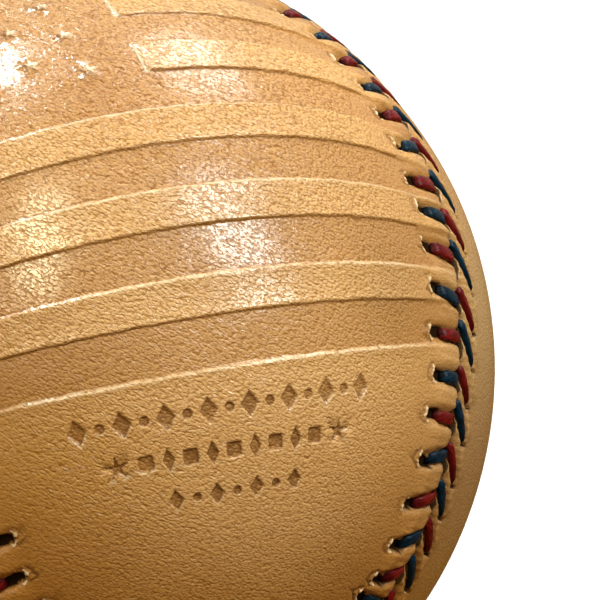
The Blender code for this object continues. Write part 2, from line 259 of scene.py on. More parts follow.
class Seam:
    """The seam, as a table of places by length along it."""

    def __init__(self, samples=9600):
        t = np.linspace(0, 2 * pi, samples, endpoint=False)
        raw = np.stack([
            np.cos(t) + SEAM_PLAN_3 * np.cos(3 * t) + SEAM_PLAN_5 * np.cos(5 * t),
            np.sin(t) - SEAM_PLAN_3 * np.sin(3 * t) + SEAM_PLAN_5 * np.sin(5 * t),
            SEAM_RISE_2 * np.sin(2 * t) + SEAM_RISE_6 * np.sin(6 * t)], axis=1)
        self.turn = np.array(Euler([radians(a) for a in SEAM_TURN], "XYZ").to_matrix())
        line = unit(raw) @ self.turn.T
        ahead = square_to(line, np.roll(line, -1, 0) - np.roll(line, 1, 0))
        steps = np.linalg.norm(np.roll(line, -1, 0) - line, axis=1) * RADIUS
        self.length = float(steps.sum())
        self.along = np.concatenate([[0.0], np.cumsum(steps)])
        self.line = line
        self.aside = np.cross(line, ahead)
        self.closed = np.vstack([line, line[:1]])
        self.closed_ahead = np.vstack([ahead, ahead[:1]])

    def read(self, table, s):
        return np.stack([np.interp(s, self.along, table[:, i]) for i in range(3)], -1)

    def axes(self, s, w):
        """Outward and along-seam directions at places beside the seam."""
        s = np.mod(s, self.length)
        centre = unit(self.read(self.closed, s))
        ahead = square_to(centre, self.read(self.closed_ahead, s))
        angle = (np.asarray(w) / RADIUS)[..., None]
        return centre * np.cos(angle) + np.cross(centre, ahead) * np.sin(angle), ahead

    def nearest(self, places, skip=4, block=2000):
        """Signed distance across the seam, and distance along it."""
        line, aside = self.line[::skip], self.aside[::skip]
        along = self.along[:-1][::skip]
        gap, s = [], []
        for i in range(0, len(places), block):
            part = places[i:i + block]
            hit = np.argmax(part @ line.T, axis=1)
            angle = np.arccos(np.clip((part * line[hit]).sum(1), -1, 1))
            gap.append(angle * np.sign((part * aside[hit]).sum(1)) * RADIUS)
            s.append(along[hit])
        return np.concatenate(gap), np.concatenate(s)

    def unwrapped(self, s, near):
        """The distance s along the closed seam, counted to lie next to another."""
        return near + (s - near + self.length / 2) % self.length - self.length / 2


seam = Seam()
PITCH = seam.length / STITCHES


def drawn(front, back=None):
    """A random value for every stitch on each cover, by mean and spread."""
    return {FRONT: rng.normal(*front, STITCHES), BACK: rng.normal(*(back or front), STITCHES)}


class Stitches:
    """Places and small differences from stitch to stitch."""

    def __init__(self):
        self.hole_s = drawn((FRONT_HOLE[0], PLACE_SPREAD), (BACK_HOLE[0], PLACE_SPREAD))
        self.hole_w = drawn((FRONT_HOLE[1], FRONT_INSET_SPREAD), (BACK_HOLE[1], PLACE_SPREAD))
        self.width = drawn((1, WIDTH_SPREAD))
        self.puff = drawn((1, PUFF_SPREAD))
        self.flap = {side: rng.uniform(*FLAP_RANGE, STITCHES) for side in (FRONT, BACK)}
        self.lean = drawn((0, LEAN_SPREAD))
        self.dive_s = drawn((FRONT_DIVE, PLACE_SPREAD), (BACK_DIVE, PLACE_SPREAD))
        for k, *row in SEEN_STITCHES:
            self.hole_s[FRONT][k], self.hole_w[FRONT][k], self.dive_s[FRONT][k] = row[:3]
            self.dive_s[BACK][k], self.hole_s[BACK][k], self.hole_w[BACK][k] = row[3:]

    def hole(self, side, k):
        k = np.asarray(k) % STITCHES
        return self.hole_s[side][k], self.hole_w[side][k]

    def dive(self, side, k):
        return self.dive_s[side][np.asarray(k) % STITCHES]


stitches = Stitches()


# Stripes and stamps on the front cover
def stripe_frame():
    """The stripes' pole, the direction of their longitude 0, and the one a quarter turn on."""
    tilt, turn = radians(STRIPE_TILT), radians(STRIPE_TURN)
    n = np.array([sin(tilt) * cos(turn), sin(tilt) * sin(turn), cos(tilt)])
    ex = square_to(n, np.array([0, -1.0, 0]))
    return n, ex, np.cross(n, ex)


AXIS_N, AXIS_X, AXIS_Y = stripe_frame()


def stripe_scale(lon):
    return 1 - STRIPE_BEND * np.clip(lon - STRIPE_MIDDLE, -STRIPE_REACH, STRIPE_REACH) ** 2


def to_stripe(places):
    """Latitude as if the stripes were not bent, longitude, and true latitude."""
    lat = np.degrees(np.arcsin(np.clip(places @ AXIS_N, -1, 1)))
    lon = np.degrees(np.arctan2(places @ AXIS_Y, places @ AXIS_X))
    return lat / stripe_scale(lon), lon, lat


def from_stripe(flat_lat, lon):
    lat = np.radians(flat_lat * stripe_scale(lon))
    lo = np.radians(lon)
    return (np.sin(lat)[..., None] * AXIS_N
            + (np.cos(lat) * np.cos(lo))[..., None] * AXIS_X
            + (np.cos(lat) * np.sin(lo))[..., None] * AXIS_Y)


def band(i):
    return BAND_LOW + BAND_LOW_STEP * i, BAND_HIGH + BAND_HIGH_STEP * i


def sunk_distance(places):
    """Distance inside the sunk forms, the same at shaded upper edges alone, and stripe ends."""
    flat, lon, lat = to_stripe(places)
    east = (CANTON_EDGE - lon) * np.cos(np.radians(lat)) * DEGREE
    inside = shaded = np.full(len(places), FAR)
    for i in range(BAND_COUNT):
        lo, hi = band(i)
        inside = np.maximum(inside, np.minimum(flat - lo, hi - flat) * DEGREE)
        upper = (hi - flat) * DEGREE
        if CANTON_BAND <= i < TOP_BAND:
            upper = np.where(east > -END_REACH, FAR, upper)
        shaded = np.where(np.abs(upper) < np.abs(shaded), upper, shaded)
    lo, hi = band(CANTON_BAND)[0], band(TOP_BAND)[1]
    corner = np.minimum(east, np.minimum(flat - lo, hi - flat) * DEGREE)
    stripe_end = (np.abs(east) < END_REACH) & (flat > lo) & (flat < hi)
    # nothing is pressed beyond the ends of the stripes
    pressed = np.minimum(lon - HOIST_EDGE, FLY_EDGE - lon) * np.cos(np.radians(lat)) * DEGREE
    inside = np.minimum(np.maximum(inside, corner), pressed)
    return inside, np.where(pressed < 0.0, FAR, shaded), stripe_end


def star_reach(theta):
    """Outline of a pointed star, as its reach at each angle."""
    step = 2 * pi / STAR_POINTS
    half = step / 2
    a = np.abs(np.mod(theta + half, step) - half)
    return STAR_NOTCH * sin(half) / (np.sin(a) + STAR_NOTCH * np.sin(half - a))


def stamp_value(kind, x, y):
    """A stamp's own measure: under 1 inside its outline, over 1 outside."""
    if kind == "star":
        return np.hypot(x, y) / star_reach(np.arctan2(x, y))
    if kind == "lozenge":
        return np.abs(x) + np.abs(y)
    if kind == "bar":
        return (np.abs(x) ** 8 + np.abs(y) ** 8) ** 0.125
    return np.hypot(x, y)


class Stamp:
    def __init__(self, kind, flat_lat, lon, half_x, half_y, height):
        self.kind, self.height = kind, height
        self.half = (half_x, half_y)
        self.centre = from_stripe(np.array([flat_lat]), np.array([lon]))[0]
        self.y_axis = square_to(self.centre, AXIS_N)
        self.x_axis = np.cross(self.y_axis, self.centre)
        self.reach = max(half_x, half_y) * 1.6

    def value(self, places):
        x = places @ self.x_axis * RADIUS / self.half[0]
        y = places @ self.y_axis * RADIUS / self.half[1]
        return stamp_value(self.kind, x, y)

    def outline(self, level, count):
        theta = np.arange(count) * 2 * pi / count
        x, y = np.sin(theta), np.cos(theta)
        reach = level / stamp_value(self.kind, x, y)
        offset = ((x * reach * self.half[0])[:, None] * self.x_axis
                  + (y * reach * self.half[1])[:, None] * self.y_axis)
        return unit(self.centre + offset / RADIUS)


def make_stamps():
    found = []
    for column in range(STAR_COLUMNS):
        for row in range(STAR_ROWS):
            lat = STAR_LOW + STAR_ROW * row + (STAR_STAGGER if column % 2 else 0.0)
            lon = STAR_RIGHT - STAR_COLUMN * column + STAR_LEAN * (STAR_LEVEL - lat)
            star = Stamp("star", lat, lon, STAR_SIZE, STAR_SIZE, STAR_RISE)
            # no star is pressed where the stitches will go
            if seam.nearest(star.centre[None])[0][0] * FRONT > STRIP_WIDTH + STAR_SIZE:
                found.append(star)
    for lat, middle, spacing, count, kinds in ORNAMENT:
        for n in range(count):
            kind, *size = kinds[n % len(kinds)]
            found.append(Stamp(kind, lat, middle + (n - (count - 1) / 2) * spacing, *size))
    return found


stamps = make_stamps()


def front_relief(places):
    """Height, and sunk, dark crease and light crest shares of the embossing; the creases are painted
    shade, partly stain, and the crests painted highlights.
    """
    inside, shaded, stripe_end = sunk_distance(places)
    uneven = sum(size * np.sin(places @ way) for size, way in EDGE_WAVES)
    inside, shaded = inside + uneven, shaded + uneven
    line_strength = 0.62 + 0.38 * np.sin(places @ LINE_WAVES[0]) * np.sin(places @ LINE_WAVES[1])
    dark_edge = np.abs(shaded) < SHADED_REACH
    half = np.where(dark_edge, STEP_HALF, STEP_SOFT)
    sunk = smooth(-1.0, 1.0, inside / half)
    # a soft swell at the crest and a crease at the foot of the shaded edges
    foot = hump(shaded, *FOOT) * line_strength
    height = -SINK * sunk - FOOT_DEPTH * foot + SWELL_HEIGHT * hump(inside, *SWELL)
    # painted shade at the foot of the shaded edges, partly stain in the crease, and at the foot of the
    # light edges
    crease = np.where(inside > CREASE_START, hump(shaded, *DARK_CREASE) * line_strength, 0.0)
    light_foot = hump(inside, *LIGHT_CREASE) * ~dark_edge
    crease = np.maximum(crease, LIGHT_CREASE_SHARE * light_foot * line_strength)
    # painted highlights along the light edges and at the stripe ends
    crest = CREST_SHARE * hump(inside, *CREST) * ~dark_edge
    crest = crest + END_CREST_SHARE * hump(inside, *END_CREST) * stripe_end
    stain = np.zeros(len(places))
    for stamp in stamps:
        near = np.nonzero(places @ stamp.centre > cos(stamp.reach / RADIUS))[0]
        value, offset = stamp.value(places[near]), places[near] - stamp.centre
        if stamp.height < 0:
            share = 1 - smooth(*PRESSED_SIDE, value)
            stain[near] = np.maximum(stain[near], share)
            dark = np.maximum(EDGE_DARK * hump(value, *PRESSED_EDGE), FLOOR_DARK * share)
            # a painted highlight on the rim below the pressed mark
            below = smooth(0.0, 0.45, -(offset @ stamp.y_axis) * RADIUS)
            light = RIM_LIGHT * below * hump(value, *PRESSED_RIM)
        else:
            share = np.clip((STAR_FOOT - value) / STAR_SLOPE, 0.0, 1.0)
            # painted light on the upper right of the star, and painted shade on the lower left
            way = STAR_LIGHT_WAY[0] * stamp.x_axis + STAR_LIGHT_WAY[1] * stamp.y_axis
            lit = smooth(-0.25, 0.25, offset @ way * RADIUS)
            dark = STAR_DARK * (1 - lit) * hump(value, *STAR_EDGE)
            light = (STAR_LIGHT[0] + STAR_LIGHT[1] * lit) * share
        height[near] += stamp.height * share
        crease[near] = np.maximum(crease[near], dark)
        crest[near] = np.maximum(crest[near], light)
    return height, np.maximum(sunk, stain), crease, crest


# The sewn edge of a cover
def near_stitches(s):
    """Numbers of the stitches near places s along the seam, and how far s is past each."""
    base = s / PITCH - STITCH_PHASE
    for step in (-1, 0, 1, 2):
        k = np.floor(base).astype(int) + step
        yield k % STITCHES, (base - k) * PITCH


def leg_line(side, k, d):
    """How far along the seam stitch k's thread lies at distance d from it."""
    lead, inset = stitches.hole(side, k)
    dive = stitches.dive(side, k)
    return dive + (lead - dive) * np.clip(d / inset, -0.2, 1.2)


def leg_groove(gap):
    return np.exp(-(np.abs(gap) / LEG_REACH) ** 3)


def sewn_edge(side, s, d):
    """Height, painted pit shade, raw leather and slit shares at places s along the seam and d across.
    """
    height, pit_shade, raw, slit, puff, open_hole = (np.zeros_like(s) for _ in range(6))
    nearest = np.full(s.shape, 9.0)
    slant = 1.0
    if side == BACK:
        slant = cos(atan((BACK_HOLE[0] - BACK_DIVE) / BACK_HOLE[1]))
    near_end, far_end, half_width, flap_share = HOLES[side]
    middle, half = (far_end + near_end) / 2, (far_end - near_end) / 2
    for k, x in near_stitches(s):
        lead, inset = stitches.hole(side, k)
        gap = (x - leg_line(side, k, d)) * slant
        on_leg = 1 - smooth(inset - 0.1, inset + 0.55, d)
        height -= LEG_DEPTH * leg_groove(gap) * on_leg
        nearer = np.abs(gap) < nearest
        nearest = np.where(nearer, np.abs(gap), nearest)
        puff = np.where(nearer, stitches.puff[side][k], puff)
        # the torn hole, its lifted flap and the crease round the flap
        lean, grow = stitches.lean[side][k], stitches.flap[side][k]
        hw = d - inset
        hs = x - lead - lean * hw
        theta = np.arctan2(hs, hw)
        torn = 0.10 * np.sin(5 * theta + 9 * grow) + 0.07 * np.sin(9 * theta + 30 * lean)
        oval = (np.abs(hs / half_width) ** 3 + np.abs((hw - middle) / half) ** 3) ** (1 / 3)
        oval = oval + torn * flap_share
        # painted shade in the hole
        pit_shade = np.maximum(pit_shade, 1 - smooth(*PIT_SIDE, oval))
        open_hole = np.maximum(open_hole, 1 - smooth(*HOLE_SIDE, oval))
        beyond = smooth(-0.55, -0.10, hw)
        ragged = 0.55 + 0.6 * np.sin(3 * theta + 9 * grow) + 0.35 * np.sin(7 * theta + 5 * lean)
        flap = hump(oval, *FLAP_AT) * beyond * grow * np.clip(ragged, 0.0, 1.2) * flap_share
        ridge = hump(oval, *RIDGE_AT) * smooth(-0.2, 0.2, hw + 0.35 * hs) * grow * flap_share
        height += FLAP_HEIGHT * flap - RIDGE_DEPTH * ridge
        raw = np.maximum(raw, np.clip(1.7 * flap, 0, 1))
        slit = np.maximum(slit, np.clip(1.3 * ridge, 0, 1) * smooth(0.0, 0.3, hw))
    pillow = smooth(0.40, 1.20, nearest) * puff
    reach = 1 - smooth(2.6, 5.2, d)
    height += (PILLOW_LOW + PILLOW_HIGH * pillow) * reach - EDGE_DIP * (1 - smooth(0.0, 1.3, d))
    height -= HOLE_DEPTH * open_hole
    if side == BACK:
        height += BACK_SWELL * smooth(3.0, 11.0, d)
    return height, pit_shade, raw * (1 - open_hole), slit


def edge_place(side, s):
    """How far the cut edge stands from the middle of the seam."""
    pulled, touch = np.zeros_like(s), np.zeros_like(s)
    for k, x in near_stitches(s):
        pulled = np.maximum(pulled, leg_groove(x - stitches.dive(side, k)))
        touch = np.maximum(touch, hump(x, stitches.dive(-side, k), TOUCH_REACH))
    rest, by_leg, by_other = EDGE_SET[side]
    return rest + by_leg * pulled + by_other * touch


def nearness(side, d):
    """How smooth the leather is pulled by the sewing; the back cover is smooth all over."""
    return np.maximum(1 - smooth(2.0, 13.0, d), 0.0 if side == FRONT else 0.55)


def crest_highlight_share(d):
    """The painted highlights on the crests of the embossing are weaker near the sewing."""
    return 0.35 + 0.65 * smooth(2.5, 13.0, d)


# Points and faces
def fibonacci(spacing):
    """Places spread evenly over the ball."""
    count = int(4 * pi / (PACKING * (spacing / RADIUS) ** 2))
    i = np.arange(count)
    z = 1 - 2 * (i + 0.5) / count
    flat = np.sqrt(1 - z * z)
    turn = i * pi * (3 - sqrt(5))
    return np.stack([flat * np.cos(turn), flat * np.sin(turn), z], 1)


def feature_points():
    """Rows of points along the embossed edges, and rings round the stamps."""
    offsets, step = np.array(EDGE_ROWS) / DEGREE, EDGE_STEP / DEGREE
    rows, rings = [], []

    def span(lo, hi):
        return np.arange(lo - ROW_PAST, hi + ROW_PAST, step)

    for i in range(BAND_COUNT):
        for n, edge in enumerate(band(i)):
            whole = i < CANTON_BAND or (i, n) in ((CANTON_BAND, 0), (TOP_BAND, 1))
            lon = span(HOIST_EDGE if whole else CANTON_EDGE, FLY_EDGE)
            rows += [from_stripe(np.full(len(lon), edge + off), lon) for off in offsets]
    for i in range(CANTON_BAND, TOP_BAND):
        lat = span(band(i)[1], band(i + 1)[0])
        narrow = cos(radians(np.mean(band(i)) + HALF_BAND_STEP))
        rows += [from_stripe(lat, np.full(len(lat), CANTON_EDGE + off / narrow)) for off in offsets]
    ends = [(FLY_EDGE, band(i)) for i in range(BAND_COUNT)]
    ends += [(HOIST_EDGE, band(i)) for i in range(CANTON_BAND)]
    ends.append((HOIST_EDGE, (band(CANTON_BAND)[0], band(TOP_BAND)[1])))
    for edge, (lo, hi) in ends:
        lat = span(lo, hi)
        rows += [from_stripe(lat, edge + off / np.cos(np.radians(lat))) for off in offsets]
    for stamp in stamps:
        count = STAR_RING_POINTS if stamp.kind == "star" else RING_POINTS
        levels = STAR_RINGS if stamp.height > 0 else PRESSED_RINGS
        rings += [stamp.outline(level, count) for level in levels] + [stamp.centre[None]]
    return np.concatenate(rows), np.concatenate(rings)


def on_cover(places, side, distance):
    """Places on one cover that lie further than a distance from the seam."""
    return places[seam.nearest(places)[0] * side > distance]


def away(places, others, gap, block=1000):
    """Places that stand at least a gap from all the others."""
    keep = np.ones(len(places), bool)
    limit = cos(gap / RADIUS)
    for i in range(0, len(places), block):
        keep[i:i + block] = (places[i:i + block] @ others.T).max(1) < limit
    return places[keep]


def spread(places, gap):
    """Thins places that fall nearly together."""
    cell = np.round(places * RADIUS / gap).astype(np.int64)
    key = np.bitwise_xor.reduce(cell * CELL_PRIMES, axis=1)
    return places[np.sort(np.unique(key, return_index=True)[1])]


def crowded(count, middle, reach, gain):
    """Shares from 0 to 1, set closer together about a middle."""
    x = np.linspace(0, 1, 2001)
    weight = np.cumsum(1 + gain * hump(x, middle, reach))
    weight = (weight - weight[0]) / (weight[-1] - weight[0])
    return np.interp(np.linspace(0, 1, count), weight, x)


def triangulate(side, ring, inner):
    """Triangles over a cover, from its edge ring and inner places."""
    places = np.concatenate([ring, inner])
    down = 1 + places @ (side * seam.turn[:, 2])
    flat = np.stack([places @ seam.turn[:, 0], places @ seam.turn[:, 1]], 1) / down[:, None]
    count = len(ring)
    edges = [(i, (i + 1) % count) for i in range(count)]
    result = geometry.delaunay_2d_cdt([Vector(p) for p in flat], edges, [], 1, 1e-8)
    source = np.array([ids[0] if ids else -1 for ids in result[3]])
    tris = source[np.array([f for f in result[2] if len(f) == 3])]
    tris = tris[(tris >= 0).all(1)]
    a, b, c = (places[tris[:, i]] for i in range(3))
    outward = (np.cross(b - a, c - a) * a).sum(1) > 0
    tris[~outward] = tris[~outward][:, ::-1]
    return tris


def ring_quads(a, b, count, turned):
    """Faces between two closed rings of points that start at a and b."""
    index = np.arange(count)
    after = (index + 1) % count
    quads = np.stack([a + index, a + after, b + after, b + index], 1)
    return (quads[:, ::-1] if turned else quads).tolist()


def new_object(name, data):
    item = bpy.data.objects.new(name, data)
    studio.collection.objects.link(item)
    return item


def new_mesh(name, verts, faces, mat, attributes=None, uv=None):
    mesh = bpy.data.meshes.new(name)
    mesh.from_pydata((verts * MM).tolist(), [], faces)
    mesh.polygons.foreach_set("use_smooth", [True] * len(mesh.polygons))
    for key, values in (attributes or {}).items():
        layer = mesh.attributes.new(key, "FLOAT", "POINT")
        layer.data.foreach_set("value", np.asarray(values, np.float32))
    if uv is not None:
        layer = mesh.uv_layers.new(name="UVMap")
        corner = np.empty(len(mesh.loops), np.int32)
        mesh.loops.foreach_get("vertex_index", corner)
        layer.data.foreach_set("uv", uv[corner].astype(np.float32).ravel())
    mesh.materials.append(mat)
    mesh.validate()
    return new_object(name, mesh)


def make_cover(name, side, node, mat):
    # more columns at the stitches in view and their neighbours
    fine = {(row[0] + step) % STITCHES for row in SEEN_STITCHES for step in (-1, 0, 1)}
    middle, gain = COLUMN_CROWD[side]
    columns = []
    for k in range(STITCHES):
        steps = COLUMNS_FINE if k in fine else COLUMNS
        columns.append(k + crowded(steps + 1, middle / PITCH, COLUMN_REACH, gain)[:-1])
    s = (np.concatenate(columns) + STITCH_PHASE) * PITCH
    count = len(s)
    edge, roll, rim = edge_place(side, s), ROLL[side], RIM[side]
    # rows of a section: under the edge, up the cut face, round the roll, out over the leather
    rows = [(edge + d, None, UNDER_EDGE) for d in UNDER_ROWS] + [(edge, roll, CUT_DROP)]
    for angle in ROLL_ANGLES:
        a = radians(angle)
        rows.append((edge + roll * (1 - cos(a)), roll, roll * (sin(a) - 1)))
    start = edge + roll
    for share in crowded(ROWS, ROW_CROWD[side], ROW_REACH, ROW_GAIN)[1:]:
        rows.append((start + (STRIP_WIDTH - start) * share, 0.0, 0.0))
    verts, faces, tables = [], [], {key: [] for key in SHARES}

    def note(*values):
        for key, value in zip(SHARES, values):
            tables[key].append(value)

    for n, (d, wall, drop) in enumerate(rows):
        out = seam.axes(s, side * d)[0]
        lift, pit_shade, raw, slit = sewn_edge(side, s, d)
        if side == FRONT:
            height, sunk, crease, crest = front_relief(out)
            keep = 0.35 + 0.65 * smooth(0.8, 3.4, d)
            lift = lift + height * keep
            crease = np.maximum(crease * keep, 1.4 * slit)
            crest = crest * keep ** 3 * crest_highlight_share(d)
        else:
            sunk = crest = np.zeros(count)
            crease = slit
        # puckers pulled up by the sewing
        pucker = np.sin(out @ PUCKER_WAVES[0]) * np.sin(out @ PUCKER_WAVES[1])
        lift = lift + PUCKER * pucker * (1 - smooth(*PUCKER_REACH, d))
        # under the edge, painted shade and raw leather
        if wall is None:
            lift, pit_shade, raw = (np.full(count, value) for value in (drop, 0.4, 0.6))
        else:
            # a deep hole's rows stop one above the other
            lift = np.maximum(lift + drop, HOLE_FLOOR + FLOOR_STEP * min(n, FLOOR_STEPS))
            # a pale raw rim, and painted shade on the cut face below it
            if wall:
                raw = np.maximum(raw, RIM_PALE[side] * hump(drop, -rim, 0.8 * rim))
                pit_shade = np.maximum(pit_shade, 0.86 * smooth(-rim, -0.13, drop))
        verts.append(out * (RADIUS + lift)[:, None])
        note(sunk, crease, crest, pit_shade, raw, nearness(side, d))
        if n:
            faces += ring_quads((n - 1) * count, n * count, count, side == FRONT)

    # the rest of the leather, with rows of points along the embossing
    inner = on_cover(fibonacci(GRID), side, STRIP_WIDTH + GRID_MARGIN)
    if side == FRONT:
        edges, rings = (on_cover(p, side, STRIP_WIDTH + MARK_MARGIN) for p in feature_points())
        marks = spread(np.concatenate([rings, edges]), MARK_GAP)
        inner = np.concatenate([marks, away(inner, marks, GRID_GAP)])
        height, sunk, crease, crest = front_relief(inner)
    else:
        height = sunk = crease = crest = np.zeros(len(inner))
    faces += (triangulate(side, unit(verts[-1]), inner) + (len(rows) - 1) * count).tolist()
    gap, s_inner = seam.nearest(inner)
    d = np.abs(gap)
    lift, pit_shade, raw, _ = sewn_edge(side, s_inner, d)
    verts.append(inner * (RADIUS + np.maximum(height + lift, HOLE_FLOOR))[:, None])
    note(sunk, crease, crest * crest_highlight_share(d), pit_shade, raw, nearness(side, d))

    # the flesh side
    total = len(rows) * count + len(inner)
    sparse = s[::FLESH_SKIP]
    under = [seam.axes(sparse, np.full(len(sparse), side * d))[0] for d in FLESH_ROWS]
    under = np.concatenate([*under, on_cover(fibonacci(FLESH_GRID), side, FLESH_START)])
    thick = smooth(*FLESH_THICKENS, np.abs(seam.nearest(under)[0]))
    depth = EDGE_INNER + (COVER_INNER - EDGE_INNER) * thick
    remap = np.concatenate([np.arange(count), total + np.arange(len(under))])
    faces += remap[triangulate(side, unit(verts[0]), under)][:, ::-1].tolist()
    verts.append(under * depth[:, None])
    note(*(np.full(len(under), float(key == "raw")) for key in SHARES))

    shares = {key: np.concatenate(values) for key, values in tables.items()}
    item = new_mesh(name, np.concatenate(verts), faces, mat, shares)
    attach(item, "root")
    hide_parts(node)


# Lacing threads
def thread_path(first):
    """Corners of a thread: distance along the seam, across it, radius, width share and shade."""
    corners = []
    for pair in range(STITCHES // 2):
        k = first - 2 * pair
        for side, n in ((FRONT, k), (BACK, k - 1)):
            leg = LEGS[side]
            lead, inset = stitches.hole(side, n)
            start = (n + STITCH_PHASE) * PITCH
            hole_s, dive_s = start + lead, start + stitches.dive(side, n)
            rise_s = hole_s + (dive_s - hole_s) * leg.entry / inset
            wide = stitches.width[side][n % STITCHES] * leg.width
            high = RADIUS + leg.lift
            corners += [
                (hole_s, side * (inset - leg.deep * leg.entry), THREAD_LOW, leg.hole_width * wide,
                 HOLE_SHADE),
                (rise_s, side * (inset - leg.entry), high, leg.rise_width * wide, leg.shade),
                (dive_s, leg.across, high - leg.sag, DIVE_WIDTH * wide, DIVE_SHADE),
                (dive_s, leg.across, THREAD_LOW, LOW_WIDTH * wide, LOW_SHADE)]
    return np.array(corners)


def round_path(corners):
    """Rounds every corner, and adds places on the two long runs of each leg."""
    path = []
    for i, here in enumerate(corners):
        before, after = corners[i - 1].copy(), corners[(i + 1) % len(corners)].copy()
        for other in (before, after):
            other[0] = seam.unwrapped(other[0], here[0])
        size_before, size_after = (np.linalg.norm((p - here)[:3]) for p in (before, after))
        reach = BEND_AT_HOLE if i % 4 < 2 else BEND_AT_DIVE
        run_out = BEND_IN_FRONT if i % 8 == 1 else reach
        p0 = here + (before - here) * min(reach / size_before, MOST_BEND)
        p2 = here + (after - here) * min(run_out / size_after, MOST_BEND)
        for t in np.linspace(0, 1, BEND_PLACES):
            path.append(p0 * (1 - t) ** 2 + here * 2 * t * (1 - t) + p2 * t * t)
        if size_after > LONG_RUN:
            q = after + (here - after) * min(reach / size_after, MOST_BEND)
            for t in (0.25, 0.5, 0.75):
                mid = p2 * (1 - t) + q * t
                if here[2] > TOP_RUN:
                    mid[3] += RUN_WIDER * sin(pi * t)
                    mid[2] += RUN_HIGHER * sin(pi * t)
                path.append(mid)
    return np.array(path)


def even_steps(path):
    """The same closed path in even steps, with the length at each and in all."""
    first = path[0].copy()
    first[0] = seam.unwrapped(first[0], path[-1][0])
    path = np.vstack([path, first])
    points = seam.axes(path[:, 0], path[:, 1])[0] * path[:, 2][:, None]
    length = np.concatenate([[0], np.cumsum(np.linalg.norm(np.diff(points, axis=0), axis=1))])
    count = int(length[-1] / THREAD_STEP)
    at = np.arange(count) * length[-1] / count
    return np.stack([np.interp(at, length, column) for column in path.T], 1), at, length[-1]


def make_thread(name, first, node, mat):
    path, length, whole = even_steps(round_path(thread_path(first)))
    out, ahead = seam.axes(path[:, 0], path[:, 1])
    points = out * path[:, 2][:, None]
    tangent = unit(np.roll(points, -1, 0) - np.roll(points, 1, 0))
    wide = square_to(tangent, ahead)
    thick = np.cross(tangent, wide)
    ply = 2 * pi * round(whole / PLY_LENGTH) * length / whole
    uneven = 1 + 0.03 * np.sin(ply * 2 + first) + 0.02 * np.sin(ply * 3)
    count = len(points)
    verts, uv, faces = [], [], []
    for j in range(THREAD_SIDES):
        a = 2 * pi * j / THREAD_SIDES
        c, s = cos(a), sin(a)
        bulge = (1 + PLY_BULGE * np.cos(PLIES * a - ply)) * uneven
        x = copysign(abs(c) ** WIDTH_POWER, c) * THREAD_HALF_WIDTH * path[:, 3] * bulge
        y = copysign(abs(s) ** THICKNESS_POWER, s) * THREAD_HALF_THICKNESS * bulge
        verts.append(points + wide * x[:, None] + thick * y[:, None])
        uv.append(np.stack([length, np.full(count, j / THREAD_SIDES)], 1))
        faces += ring_quads(j * count, (j + 1) % THREAD_SIDES * count, count, True)
    # painted shadow where the thread goes down into the holes and on the shaded ends of its legs
    deep = 1 - smooth(RADIUS - 0.55, RADIUS - 0.12, path[:, 2])
    deep = np.tile(np.maximum(deep, np.clip(path[:, 4], 0.0, 1.0)), THREAD_SIDES)
    item = new_mesh(name, np.concatenate(verts), faces, mat, {"deep": deep}, uv=np.concatenate(uv))
    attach(item, "root")
    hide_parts(node)


# Materials
class Value:
    """A node's output that can be reckoned with."""

    def __init__(self, nodes, socket):
        self.nodes, self.socket = nodes, socket

    def __add__(self, other):
        return self.nodes.math("ADD", self, other)

    def __sub__(self, other):
        return self.nodes.math("SUBTRACT", self, other)

    def __rsub__(self, other):
        return self.nodes.math("SUBTRACT", other, self)

    def __mul__(self, other):
        return self.nodes.math("MULTIPLY", self, other)

    def clamp(self):
        self.socket.node.use_clamp = True
        return self

    def other(self, output):
        return Value(self.nodes, self.socket.node.outputs[output])


